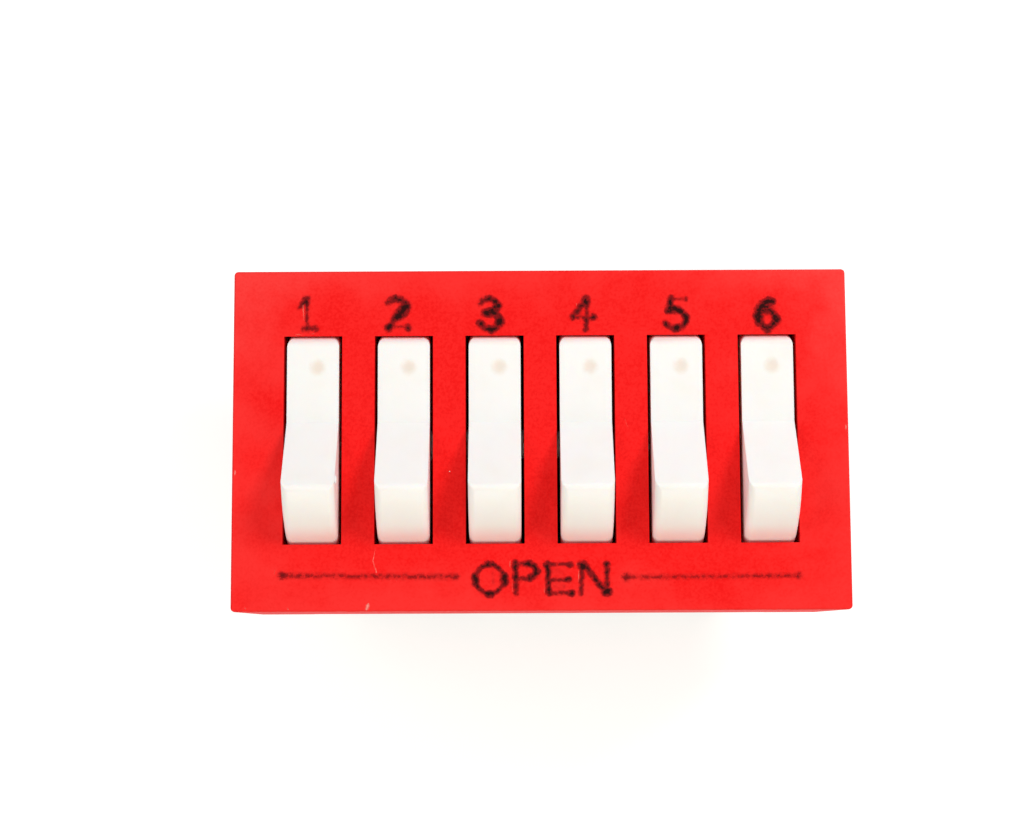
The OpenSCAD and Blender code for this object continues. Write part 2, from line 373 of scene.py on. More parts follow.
@dataclass(frozen=True)
class WhiteMoulding:
    """Satin white thermoplastic, clouded, with a tan gate mark on each wing that is level at rest.

    Painted reflection: the red of the slot walls is painted as a pink tint on the foot and the tip of each
    rocker that stand by the slot's ends at rest.
    """

    pitch: float
    colour: Rgb = (0.915, 0.905, 0.885)
    warm: Rgb = (0.900, 0.880, 0.845)
    warm_range: Range = (0.4, 0.8)
    cloud_size: float = 1.1
    grain_size: float = 0.06
    gate: Rgb = (0.800, 0.670, 0.560)
    gate_at: Point = (0.13, 2.03)
    gate_radii: Range = (0.10, 0.34)
    gate_fray: float = 0.08
    fray_size: float = 0.12
    gate_share: float = 0.66
    gate_z: Range = (5.7, 5.8)
    red_reflection: Rgb = (0.900, 0.400, 0.400)
    red_reflection_share: float = 0.45
    red_reflection_waver: float = 0.1
    red_reflection_z: Range = (5.65, 5.95)
    slot_end: float = 2.88
    foot_reach: float = 0.5
    tip_reach: float = 0.28
    roughness: Range = (0.34, 0.48)
    relief: float = 0.004
    glow_depth: float = 0.35

    def build(self) -> bpy.types.Material:
        """Builds the finish.

        Returns:
            The material.
        """
        g = Graph.of("white_moulding")
        cloud = g.noise(self.cloud_size, detail=3.0, seed=0.071)
        grain = g.noise(self.grain_size, seed=0.052)
        x, y, z = g.axes()
        across = ((x / self.pitch).fraction() - 0.5) * self.pitch - self.gate_at[0]
        along = y - self.gate_at[1]
        fray = self.gate_fray * g.noise(self.fray_size, seed=0.02)
        spot = 1 - ((across * across + along * along) ** 0.5 + fray).between(*self.gate_radii)
        on_top = z.between(*self.gate_z)
        # painted reflection: pink of the red slot walls on each end face's foot and tip
        waver = self.red_reflection_waver * (cloud - 0.5)
        foot = (waver - y).between(self.slot_end - self.foot_reach, self.slot_end)
        tip = (waver + y).between(self.slot_end - self.tip_reach, self.slot_end)
        painted_reflection = foot.larger(tip) * z.between(*self.red_reflection_z)
        plain = g.mixed(cloud.between(*self.warm_range), self.colour, self.warm)
        reflected_white = g.mixed(painted_reflection * self.red_reflection_share, plain, self.red_reflection)
        return g.surface(
            {
                "Base Color": g.mixed(spot * on_top * self.gate_share, reflected_white, self.gate),
                "Roughness": grain.scaled(*self.roughness),
                "Normal": g.bump(grain * 0.35 + cloud, self.relief),
                "Specular IOR Level": 0.3,
                "Subsurface Weight": 0.25,
                "Subsurface Radius": (1.0, 0.6, 0.4),
                "Subsurface Scale": self.glow_depth * MM,
            }
        )


@dataclass(frozen=True)
class BlackMoulding:
    """Black glass-filled thermoplastic of the base."""

    colour: Rgb = (0.018, 0.018, 0.020)
    fibre: Rgb = (0.045, 0.045, 0.048)
    fibre_range: Range = (0.45, 0.8)
    grain_size: float = 0.08
    roughness: Range = (0.5, 0.7)
    relief: float = 0.005

    def build(self) -> bpy.types.Material:
        """Builds the finish.

        Returns:
            The material.
        """
        g = Graph.of("black_moulding")
        grain = g.noise(self.grain_size, detail=4.0, rough=0.6, seed=0.021)
        return g.surface(
            {
                "Base Color": g.mixed(grain.between(*self.fibre_range), self.colour, self.fibre),
                "Roughness": grain.scaled(*self.roughness),
                "Normal": g.bump(grain, self.relief),
            }
        )


@dataclass(frozen=True)
class CastResin:
    """Dark epoxy that was poured in and cured, glossy between faint flow lines and dust."""

    colour: Rgb = (0.030, 0.022, 0.017)
    swirl_size: float = 2.4
    roughness: Range = (0.16, 0.40)
    relief: float = 0.05
    dust: Rgb = (0.12, 0.105, 0.09)
    dust_size: float = 0.12
    dust_range: Range = (0.62, 0.74)
    dust_share: float = 0.6
    dust_roughness: float = 0.3

    def build(self) -> bpy.types.Material:
        """Builds the finish.

        Returns:
            The material.
        """
        g = Graph.of("cast_resin")
        swirl = g.noise(self.swirl_size, detail=4.0, rough=0.55, seed=0.09)
        specks = g.noise(self.dust_size, rough=0.7, seed=0.017).between(*self.dust_range)
        return g.surface(
            {
                "Base Color": g.mixed(specks * self.dust_share, self.colour, self.dust),
                "Roughness": swirl.scaled(*self.roughness) + specks * self.dust_roughness,
                "Normal": g.bump(swirl, self.relief),
            }
        )


@dataclass(frozen=True)
class Metal:
    """A plated metal with fine drawing marks and cloudy tarnish."""

    colour: Rgb
    tarnish: Rgb
    roughness: float
    cloud_size: float
    tarnish_range: Range = (0.42, 0.78)
    cloud_roughness: float = 0.22
    mark_size: float = 0.03
    mark_roughness: float = 0.06
    relief: float = 0.004

    def build(self, name: str) -> bpy.types.Material:
        """Builds the finish.

        Args:
            name: The material's name.

        Returns:
            The material.
        """
        g = Graph.of(name)
        cloud = g.noise(self.cloud_size, detail=4.0, rough=0.6, seed=0.063)
        marks = g.noise(self.mark_size, rough=0.6, seed=0.037)
        return g.surface(
            {
                "Base Color": g.mixed(cloud.between(*self.tarnish_range), self.colour, self.tarnish),
                "Metallic": 1.0,
                "Roughness": self.roughness + self.cloud_roughness * cloud + self.mark_roughness * marks,
                "Normal": g.bump(marks * 0.5 + cloud, self.relief),
            }
        )


class Plating(Enum):
    """The metals of the contacts."""

    TIN = Metal((0.68, 0.67, 0.64), (0.40, 0.385, 0.36), 0.20, 0.7)
    GOLD = Metal((0.95, 0.68, 0.28), (0.72, 0.46, 0.18), 0.12, 0.3)
    STEEL = Metal((0.62, 0.61, 0.60), (0.42, 0.40, 0.38), 0.25, 0.2)

    def build(self) -> bpy.types.Material:
        """The metal's finish, named after it."""
        return self.value.build(f"{self.name.lower()}_plating")


@dataclass(frozen=True)
class StampedInk:
    """Thin black ink that turns dark red where its film is thin, and breaks up in blots and grains."""

    colour: Rgb = (0.026, 0.003, 0.003)
    thin: Rgb = (0.30, 0.008, 0.010)
    blot_size: float = 0.13
    blot_range: Range = (0.38, 0.62)
    blot_cover: Range = (0.6, 1.15)
    grain_size: float = 0.035
    grain_cover: Range = (0.7, 1.3)
    black_range: Range = (0.22, 0.85)
    closed_range: Range = (0.0, 0.5)
    roughness: Range = (0.6, 0.8)

    def build(self) -> bpy.types.Material:
        """Builds the finish.

        Returns:
            The material.
        """
        g = Graph.of("stamped_ink")
        blot = g.noise(self.blot_size, seed=0.026).between(*self.blot_range)
        grain = g.noise(self.grain_size, rough=0.6, seed=0.084)
        cover = g.film_cover() * blot.scaled(*self.blot_cover) * grain.scaled(*self.grain_cover)
        return g.surface(
            {
                "Base Color": g.mixed(cover.between(*self.black_range), self.thin, self.colour),
                "Alpha": cover.between(*self.closed_range),
                "Roughness": grain.scaled(*self.roughness),
                "Specular IOR Level": 0.06,
            }
        )


@dataclass(frozen=True)
class Mark:
    """A pale mark on the surface, strongest in the middle of a stroke."""

    colour: Rgb
    most: float
    grain_size: float = 0.06
    grain_cover: Range = (0.3, 1.7)
    closed_range: Range = (0.05, 0.95)
    roughness: Range = (0.6, 0.8)

    def build(self, name: str) -> bpy.types.Material:
        """Builds the finish.

        Args:
            name: The material's name.

        Returns:
            The material.
        """
        g = Graph.of(name)
        grain = g.noise(self.grain_size, detail=3.0, rough=0.6, seed=0.055)
        cover = g.film_cover() * grain.scaled(*self.grain_cover)
        return g.surface(
            {
                "Base Color": (*self.colour, 1.0),
                "Alpha": cover.between(*self.closed_range) * self.most,
                "Roughness": grain.scaled(*self.roughness),
                "Specular IOR Level": 0.2,
            }
        )


class Chafe(Enum):
    """The kinds of marks on the cover: their colour, and how far they hide it."""

    SCRAPED = Mark((0.95, 0.30, 0.25), 0.95)
    # painted highlights beside the stamped strokes, where their indented edges catch light, and a few faint
    # pale smudges
    HIGHLIGHT_AND_SMUDGE = Mark((0.96, 0.17, 0.13), 0.75)
    DUST = Mark((0.95, 0.78, 0.74), 1.0)

    def build(self) -> bpy.types.Material:
        """The mark's finish, named after its kind."""
        return self.value.build(f"{self.name.lower()}_plastic")


# ------------------------------------------------------------------ mesh helpers


def mesh_object(
    name: str, points: Sequence[Sequence[float]], faces: Sequence[Sequence[int]], smooth: bool = False
) -> bpy.types.Object:
    """Makes an object from points in metres and the faces between them.

    Args:
        name: Its name.
        points: The vertices.
        faces: The corners of each face.
        smooth: Whether the faces are shaded smooth.

    Returns:
        The object, in the scene.
    """
    mesh = bpy.data.meshes.new(name)
    mesh.from_pydata(points, [], faces)
    mesh.polygons.foreach_set("use_smooth", [smooth] * len(mesh.polygons))
    piece = bpy.data.objects.new(name, mesh)
    bpy.context.scene.collection.objects.link(piece)
    return piece


def soften(piece: bpy.types.Object, width: float, segments: int = 2, angle: float = 32.0) -> None:
    """Rounds a CAD node's sharp edges a little.

    Args:
        piece: The node.
        width: Width of the rounding.
        segments: Steps across the rounding.
        angle: Smallest turn in degrees between two faces that counts as an edge.
    """
    weld = piece.modifiers.new("weld", "WELD")
    weld.merge_threshold = SAME_POINT * MM
    bevel = piece.modifiers.new("softened_edges", "BEVEL")
    bevel.width = width * MM
    bevel.segments = segments
    bevel.limit_method = "ANGLE"
    bevel.angle_limit = math.radians(angle)
    bevel.harden_normals = True
    bevel.use_clamp_overlap = True


def dress(piece: bpy.types.Object, material: bpy.types.Material) -> None:
    """Gives a piece one material in all its slots.

    Args:
        piece: The piece.
        material: Its finish.
    """
    if not piece.data.materials:
        piece.data.materials.append(material)
    for slot in piece.material_slots:
        slot.material = material
    LOG.info("%s is dressed in %s", piece.name, material.name)


def carry(piece: bpy.types.Object, body: str, material: bpy.types.Material) -> None:
    """Dresses a new piece and puts it on a body.

    Args:
        piece: The piece.
        body: Body that it moves with.
        material: Its finish.
    """
    dress(piece, material)
    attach(piece, body)
    LOG.info("%s rides on %s, %d faces", piece.name, body, len(piece.data.polygons))


def span(node: str) -> tuple[Vector, Vector]:
    """A node's lowest and highest corner in millimetres."""
    low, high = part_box(node)
    return Vector(low) / MM, Vector(high) / MM


# ------------------------------------------------------------------- thin films


@dataclass(frozen=True)
class Dab:
    """One point of a pen stroke, whose width and density run on to the next point."""

    x: float
    y: float
    density: float
    width: float


Stroke = list[Dab]


def pen(width: float, *marks: tuple[float, ...]) -> Stroke:
    """Draws a stroke through points.

    Args:
        width: Width of the pen.
        marks: Each point as x, y and density, and its own width where it isn't the pen's.

    Returns:
        The stroke.
    """
    return [Dab(m[0], m[1], m[2], m[3] if len(m) > 3 else width) for m in marks]


def ring(centre: Point, radii: Point, width: float, knots: float, between: float) -> Stroke:
    """Draws an ellipse whose ink gathered at the right, the top, the left and the bottom.

    Args:
        centre: Its centre.
        radii: Its half width and half height.
        width: Width of the pen.
        knots: Density where the ink gathered.
        between: Density halfway between those places.

    Returns:
        The stroke.
    """
    steps = 32
    marks = []
    for k in range(steps + 1):
        angle = 2 * math.pi * k / steps
        density = knots + (between - knots) * abs(math.sin(2 * angle))
        x = centre[0] + radii[0] * math.cos(angle)
        y = centre[1] + radii[1] * math.sin(angle)
        marks.append((x, y, density))
    return pen(width, *marks)


@dataclass(frozen=True)
class Spot:
    """What the strokes do at one point of a film's grid.

    A point outside them is moved onto the edge of a stroke.
    """

    x: float
    y: float
    inside: bool
    cover: float


@dataclass
class Film:
    """A thin layer on a flat face, made of pen strokes that may cross."""

    LAYER = "film_cover"
    MARGIN_CELLS = 1.5

    name: str
    strokes: Sequence[Stroke]
    height: float
    shift: Point = (0.0, 0.0)
    spread: float = 1.0
    press: float = 1.0
    fade: float = 1.0
    cell: float = 0.02

    def _spot(self, a: Dab, b: Dab, x: float, y: float) -> Spot:
        """Works out what the stretch of a stroke from a to b does at a point.

        Args:
            a: Where the stretch starts.
            b: Where it ends.
            x: Place of the point.
            y: Place of the point.

        Returns:
            The spot, with a negative cover where the point is outside.
        """
        dx, dy = b.x - a.x, b.y - a.y
        t = max(0.0, min(1.0, ((x - a.x) * dx + (y - a.y) * dy) / (dx * dx + dy * dy)))
        half = 0.5 * self.spread * (a.width + (b.width - a.width) * t)
        cx, cy = a.x + dx * t, a.y + dy * t
        away = math.hypot(x - cx, y - cy)
        depth = 1 - away / half
        if depth <= 0:
            return Spot(cx + (x - cx) * half / away, cy + (y - cy) * half / away, False, depth)
        density = a.density + (b.density - a.density) * t
        return Spot(x, y, True, self.press * density * depth**self.fade)

    def _spots(self) -> dict[tuple[int, int], Spot]:
        """Finds the strongest spot at each grid point in a stroke or just beside one.

        Returns:
            The spots, by column and row of the grid.
        """
        spots: dict[tuple[int, int], Spot] = {}
        for stroke in self.strokes:
            for a, b in zip(stroke, stroke[1:]):
                reach = self.spread * max(a.width, b.width) / 2 + self.MARGIN_CELLS * self.cell
                ranges = []
                for start, end in ((a.x, b.x), (a.y, b.y)):
                    first = math.floor((min(start, end) - reach) / self.cell)
                    last = math.ceil((max(start, end) + reach) / self.cell)
                    ranges.append(range(first, last + 1))
                for i in ranges[0]:
                    for j in ranges[1]:
                        spot = self._spot(a, b, i * self.cell, j * self.cell)
                        if (i, j) not in spots or spot.cover > spots[i, j].cover:
                            spots[i, j] = spot
        return spots

    def build(self) -> bpy.types.Object:
        """Builds the film.

        Returns:
            A mesh object with its cover as an attribute.
        """
        spots = self._spots()
        index: dict[tuple[int, int], int] = {}
        faces = []
        for i, j in spots:
            square = [(i, j), (i + 1, j), (i + 1, j + 1), (i, j + 1)]
            if all(key in spots for key in square) and any(spots[key].inside for key in square):
                faces.append([index.setdefault(key, len(index)) for key in square])
        used = [spots[key] for key in index]
        x, y = self.shift
        points = [((s.x + x) * MM, (s.y + y) * MM, self.height * MM) for s in used]
        piece = mesh_object(self.name, points, faces)
        layer = piece.data.attributes.new(self.LAYER, "FLOAT", "POINT")
        layer.data.foreach_set("value", [max(0.0, s.cover) for s in used])
        return piece


# ---------------------------------------------------------------- pen drawings


NUMERALS: Mapping[int, Sequence[Stroke]] = {
    1: [
        pen(0.15, (-0.20, 0.20, 0.45), (-0.09, 0.31, 0.8), (-0.02, 0.41, 1.0, 0.17)),
        pen(0.10, (-0.02, 0.40, 1.0, 0.16), (0.0, 0.10, 0.5), (0.0, -0.28, 0.55), (0.0, -0.41, 0.8, 0.15)),
        pen(
            0.15, (-0.07, -0.43, 0.6), (0.0, -0.41, 0.85, 0.17), (0.12, -0.42, 0.6, 0.13),
            (0.23, -0.42, 0.8),
        ),
    ],
    2: [
        pen(0.15, (-0.31, 0.32, 0.5), (-0.22, 0.40, 0.65), (-0.09, 0.44, 1.0), (0.06, 0.40, 0.8)),
        pen(
            0.17, (0.06, 0.40, 0.8, 0.15), (0.15, 0.30, 0.95), (0.18, 0.22, 1.1, 0.22),
            (0.12, 0.08, 1.1, 0.22),
        ),
        pen(0.22, (0.12, 0.08, 1.1), (-0.01, -0.04, 1.1), (-0.08, -0.11, 0.9, 0.17)),
        pen(0.14, (-0.08, -0.11, 0.9, 0.17), (-0.19, -0.25, 0.65), (-0.29, -0.40, 0.95, 0.17)),
        pen(0.10, (-0.25, -0.38, 0.3), (0.0, -0.36, 0.22), (0.20, -0.38, 0.3)),
        pen(0.15, (0.25, -0.38, 0.75), (0.27, -0.40, 0.75)),
    ],
    3: [
        pen(0.14, (-0.30, 0.29, 0.35), (-0.22, 0.39, 0.45), (-0.06, 0.44, 0.8), (0.09, 0.38, 0.75)),
        pen(0.18, (0.09, 0.38, 0.75, 0.14), (0.18, 0.24, 1.05), (0.12, 0.11, 0.85, 0.15), (0.0, 0.04, 1.1)),
        pen(0.17, (-0.17, 0.03, 0.75), (-0.01, 0.04, 1.15, 0.19), (0.08, 0.03, 0.9)),
        pen(0.15, (0.08, 0.02, 0.7), (0.21, -0.09, 0.75), (0.25, -0.21, 1.05, 0.19), (0.17, -0.36, 0.65)),
        pen(
            0.14, (0.17, -0.36, 0.65), (0.01, -0.44, 1.1, 0.17), (-0.15, -0.40, 0.6),
            (-0.31, -0.27, 0.85, 0.16),
        ),
    ],
    4: [
        pen(0.17, (0.085, 0.43, 0.9), (0.07, 0.33, 1.05, 0.19), (-0.09, 0.18, 0.8, 0.14)),
        pen(0.14, (-0.09, 0.18, 0.8), (-0.22, 0.0, 0.7), (-0.28, -0.09, 0.85, 0.15)),
        pen(0.11, (-0.27, -0.10, 0.6), (-0.05, -0.10, 0.35), (0.09, -0.10, 0.75, 0.14)),
        pen(
            0.12, (0.09, -0.10, 0.75, 0.14), (0.22, -0.12, 0.6), (0.29, -0.09, 0.85, 0.15),
            (0.33, -0.11, 0.7),
        ),
        pen(0.12, (0.10, 0.30, 0.75), (0.10, 0.05, 0.45), (0.09, -0.16, 0.8), (0.08, -0.33, 0.55)),
        pen(0.14, (0.08, -0.33, 0.55, 0.12), (0.075, -0.43, 0.75)),
        pen(0.16, (-0.04, 0.14, 0.3), (-0.11, 0.0, 0.25)),
    ],
    5: [
        pen(
            0.15, (-0.11, 0.43, 0.9), (-0.13, 0.33, 0.8, 0.14), (-0.15, 0.20, 0.85, 0.16),
            (-0.19, 0.09, 0.9),
        ),
        pen(0.10, (-0.04, 0.43, 0.4), (0.20, 0.42, 0.18), (0.30, 0.42, 0.45, 0.12)),
        pen(
            0.17, (-0.18, 0.09, 0.8, 0.14), (-0.06, 0.13, 1.15), (0.07, 0.12, 1.05),
            (0.22, 0.04, 0.7, 0.14),
        ),
        pen(0.16, (0.22, 0.04, 0.7, 0.14), (0.31, -0.10, 1.0), (0.29, -0.24, 0.8, 0.14), (0.17, -0.36, 0.6)),
        pen(
            0.13, (0.17, -0.36, 0.6), (0.01, -0.41, 1.15, 0.17), (-0.13, -0.37, 0.55),
            (-0.27, -0.27, 0.8, 0.14),
        ),
    ],
    6: [
        pen(0.14, (0.17, 0.35, 0.85), (0.05, 0.38, 1.05, 0.16), (-0.12, 0.27, 0.95, 0.18)),
        pen(0.18, (-0.12, 0.27, 0.95), (-0.23, 0.11, 1.0), (-0.25, -0.07, 1.15, 0.20), (-0.21, -0.24, 0.95)),
        pen(
            0.14, (-0.21, -0.24, 0.95, 0.17), (-0.12, -0.36, 0.75), (0.0, -0.43, 1.1, 0.17),
            (0.13, -0.35, 0.7),
        ),
        pen(0.15, (0.13, -0.35, 0.7, 0.14), (0.25, -0.16, 1.1, 0.19), (0.18, 0.0, 0.7), (0.06, 0.09, 0.95)),
        pen(0.16, (0.07, 0.08, 0.95), (-0.14, 0.09, 0.8)),
        pen(0.22, (-0.14, 0.18, 0.8), (0.0, 0.22, 0.8), (0.09, 0.24, 0.5)),
    ],
}

WORD: Sequence[Stroke] = [
    ring((-1.43, 0.0), (0.385, 0.40), 0.105, 0.95, 0.7),
    pen(0.17, (-1.03, 0.07, 1.05), (-1.02, -0.09, 1.1)),
    pen(0.15, (-1.82, 0.08, 1.05), (-1.82, -0.10, 1.05)),
    pen(0.14, (-1.49, 0.41, 1.0), (-1.39, 0.41, 1.0)),
    pen(0.15, (-1.46, -0.41, 0.95), (-1.39, -0.42, 1.05)),
    pen(0.12, (-0.72, 0.42, 1.0, 0.15), (-0.71, 0.18, 0.7), (-0.70, 0.03, 0.95, 0.15), (-0.70, -0.15, 0.7)),
    pen(0.12, (-0.70, -0.15, 0.7), (-0.70, -0.41, 0.55)),
    pen(0.11, (-0.70, 0.42, 0.6), (-0.53, 0.42, 0.45), (-0.42, 0.415, 0.95, 0.14), (-0.30, 0.41, 1.0, 0.15)),
    pen(0.13, (-0.30, 0.41, 0.95), (-0.17, 0.33, 0.85), (-0.12, 0.22, 1.1, 0.15), (-0.17, 0.10, 0.8)),
    pen(0.12, (-0.17, 0.10, 0.8), (-0.31, 0.03, 1.05, 0.15), (-0.42, 0.01, 0.5), (-0.68, 0.01, 0.45)),
    pen(0.12, (0.17, 0.38, 1.1, 0.16), (0.19, 0.18, 0.75), (0.19, -0.02, 0.95), (0.19, -0.2, 0.75)),
    pen(0.13, (0.19, -0.2, 0.75), (0.22, -0.37, 1.0, 0.15)),
    pen(0.10, (0.20, 0.40, 0.6), (0.45, 0.40, 0.4), (0.68, 0.40, 0.5), (0.81, 0.385, 0.9, 0.13)),
    pen(0.10, (0.20, -0.03, 0.6), (0.45, -0.03, 0.42), (0.65, -0.025, 0.65), (0.76, -0.025, 0.95, 0.13)),
    pen(0.11, (0.22, -0.38, 0.7), (0.45, -0.39, 0.45), (0.68, -0.39, 0.5), (0.84, -0.40, 0.95, 0.14)),
    pen(0.11, (1.14, 0.36, 0.85), (1.12, 0.05, 0.6), (1.10, -0.25, 0.65), (1.09, -0.41, 0.55)),
    pen(0.18, (1.13, 0.37, 1.2), (1.19, 0.35, 1.2)),
    pen(0.13, (1.22, 0.32, 0.95), (1.42, 0.08, 0.8), (1.58, -0.14, 0.8), (1.73, -0.31, 0.95)),
    pen(0.18, (1.77, -0.35, 1.2), (1.83, -0.36, 1.2)),
    pen(0.12, (1.81, 0.39, 0.9, 0.14), (1.81, 0.15, 0.7), (1.81, -0.1, 0.7), (1.80, -0.3, 0.9)),
    pen(0.22, (0.32, 0.20, 0.16), (0.60, 0.18, 0.12)),
    pen(0.20, (0.34, -0.20, 0.14), (0.62, -0.21, 0.14)),
    pen(0.10, (-1.34, 0.20, 0.14), (-1.33, -0.12, 0.16)),
]

RULES: Sequence[Stroke] = [
    pen(
        0.12, (-7.20, 0.115, 0.6), (-6.2, 0.11, 0.42), (-4.6, 0.09, 0.48), (-3.3, 0.075, 0.5),
        (-2.38, 0.07, 0.5),
    ),
    pen(0.13, (-7.17, 0.115, 0.95), (-7.14, 0.115, 0.95)),
    pen(0.12, (-2.40, 0.07, 0.65), (-2.34, 0.07, 0.65)),
    pen(
        0.11, (2.36, 0.035, 0.4), (3.4, 0.04, 0.48), (4.8, 0.045, 0.4), (6.2, 0.055, 0.45),
        (7.13, 0.06, 0.4),
    ),
    pen(0.14, (2.34, 0.035, 0.95), (2.37, 0.035, 0.95)),
    pen(0.12, (7.09, 0.06, 0.65), (7.13, 0.06, 0.65)),
]

MARKS: Mapping[Chafe, Sequence[Stroke]] = {
    Chafe.SCRAPED: [
        pen(0.05, (-4.59, -3.02, 0.2), (-4.62, -3.22, 0.45), (-4.65, -3.36, 0.6, 0.06), (-4.61, -3.52, 0.4)),
        pen(0.05, (-4.61, -3.52, 0.4), (-4.57, -3.62, 0.65), (-4.55, -3.70, 0.6)),
        pen(0.13, (-4.82, -4.70, 0.7), (-4.79, -4.60, 0.9, 0.15), (-4.77, -4.54, 0.6, 0.08)),
        pen(0.05, (-8.50, -0.84, 0.5), (-8.49, -0.92, 0.9, 0.09), (-8.50, -0.98, 0.5)),
        pen(0.05, (8.50, 0.35, 0.5), (8.51, 0.29, 0.9, 0.07), (8.50, 0.22, 0.4)),
        pen(0.04, (-7.00, -4.66, 0.5), (-6.98, -4.70, 0.7)),
        pen(0.05, (-8.20, -4.64, 0.4), (-8.16, -4.67, 0.5)),
    ],
    Chafe.HIGHLIGHT_AND_SMUDGE: [
        # the first seven strokes are painted highlights beside the print, the last four faint pale smudges
        pen(0.055, (-6.64, 3.80, 0.5), (-6.635, 3.68, 1.1), (-6.62, 3.50, 0.7), (-6.61, 3.36, 0.3)),
        pen(0.05, (-0.86, -3.38, 0.5), (-0.87, -3.50, 0.9), (-0.86, -3.58, 0.3)),
        pen(0.05, (-0.81, -3.95, 0.3), (-0.80, -4.18, 0.5), (-0.80, -4.28, 0.2)),
        pen(0.05, (0.07, -4.05, 0.3), (0.08, -4.22, 0.6), (0.09, -4.28, 0.3)),
        pen(0.05, (1.03, -3.68, 0.7), (1.03, -3.82, 0.9), (1.02, -3.98, 0.4)),
        pen(0.04, (0.97, -3.45, 0.4), (0.97, -3.50, 0.7)),
        pen(0.04, (1.03, 3.74, 0.5), (1.03, 3.81, 0.8)),
        pen(0.06, (-7.36, -3.62, 0.4), (-7.38, -3.72, 0.5)),
        pen(0.08, (2.35, 0.55, 0.25), (2.40, 0.40, 0.35), (2.45, 0.30, 0.25)),
        pen(0.07, (-6.85, 2.96, 0.4), (-6.75, 2.97, 0.7), (-6.66, 2.95, 0.3)),
        pen(0.07, (-6.40, 2.98, 0.3), (-6.33, 2.99, 0.5)),
    ],
    Chafe.DUST: [
        pen(0.042, (-2.535, -0.90, 0.9), (-2.525, -0.90, 0.9)),
    ],
}


# --------------------------------------------------------------- sub-assemblies


@dataclass
class CastSeal:
    """The resin cast round the terminals, which creeps along the walls and the legs as it cures."""

    poles: int
    leg_half: Point = (0.255, 0.125)
    cell: float = 0.11
    creep: float = 0.14
    fade: float = 0.16
    waviness: float = 0.012
    waves_per_mm: float = 0.9
    wave_slice: float = 3.0

    def _legs(self) -> list[Point]:
        """Finds the legs.

        Returns:
            The middle of each leg's section.
        """
        half_y = self.leg_half[1]
        found = []
        for side in "ab":
            for i in range(1, self.poles + 1):
                low, high = span(f"terminal_{side}_{i}")
                leg_low = high.y - 2 * half_y if side == "a" else low.y
                found.append(((low.x + high.x) / 2, leg_low + half_y))
        return found

    def build(self) -> bpy.types.Object:
        """Builds the seal.

        Returns:
            A closed body with a rippled underside.
        """
        low, high = span("seal")
        columns = round((high.x - low.x) / self.cell)
        rows = round((high.y - low.y) / self.cell)
        legs = self._legs()
        half_x, half_y = self.leg_half

        def depth(x: float, y: float) -> float:
            """How far the resin hangs below its flat level at a point.

            Args:
                x: Place of the point.
                y: Place of the point.

            Returns:
                The depth.
            """
            wall = min(x - low.x, high.x - x, y - low.y, high.y - y)
            leg = min(math.hypot(max(abs(x - a) - half_x, 0), max(abs(y - b) - half_y, 0)) for a, b in legs)
            wave = self.waviness * noise.noise(Vector((x, y, self.wave_slice)) * self.waves_per_mm)
            return self.creep * (math.exp(-wall / self.fade) + math.exp(-leg / self.fade)) + wave

        points = []
        for z in (None, high.z):
            for i in range(columns + 1):
                for j in range(rows + 1):
                    x = low.x + (high.x - low.x) * i / columns
                    y = low.y + (high.y - low.y) * j / rows
                    level = low.z - depth(x, y) if z is None else z
                    points.append((x * MM, y * MM, level * MM))
        wide = rows + 1
        top = wide * (columns + 1)
        faces = []
        for i in range(columns):
            for j in range(rows):
                a = i * wide + j
                faces.append([a, a + 1, a + wide + 1, a + wide])
                faces.append([top + a, top + a + wide, top + a + wide + 1, top + a + 1])
        border = list(range(rows))
        border += [i * wide + rows for i in range(columns)]
        border += [columns * wide + j for j in range(rows, 0, -1)]
        border += [i * wide for i in range(columns, 0, -1)]
        for a, b in zip(border, border[1:] + border[:1]):
            faces.append([b, a, top + a, top + b])
        return mesh_object("cast_seal", points, faces, smooth=True)


@dataclass
class Housing:
    """The red cover, the black base with its terminals and the cast seal."""

    poles: int
    cover_edge: float = 0.03
    leg_edge: float = 0.025

    def build(self) -> None:
        """Dresses the housing's CAD nodes and casts the seal."""
        nodes = frame["nodes"]
        low, high = span("cover")
        dress(nodes["cover"], RedMoulding((high.x - low.x) / 2, (high.y - low.y) / 2, high.z).build())
        dress(nodes["base"], BlackMoulding().build())
        soften(nodes["cover"], self.cover_edge)
        seal = CastSeal(self.poles).build()
        carry(seal, "housing", CastResin().build())
        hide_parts("seal")
        tin = Plating.TIN.build()
        for i in range(1, self.poles + 1):
            for side in "ab":
                leg = nodes[f"terminal_{side}_{i}"]
                dress(leg, tin)
                soften(leg, self.leg_edge)


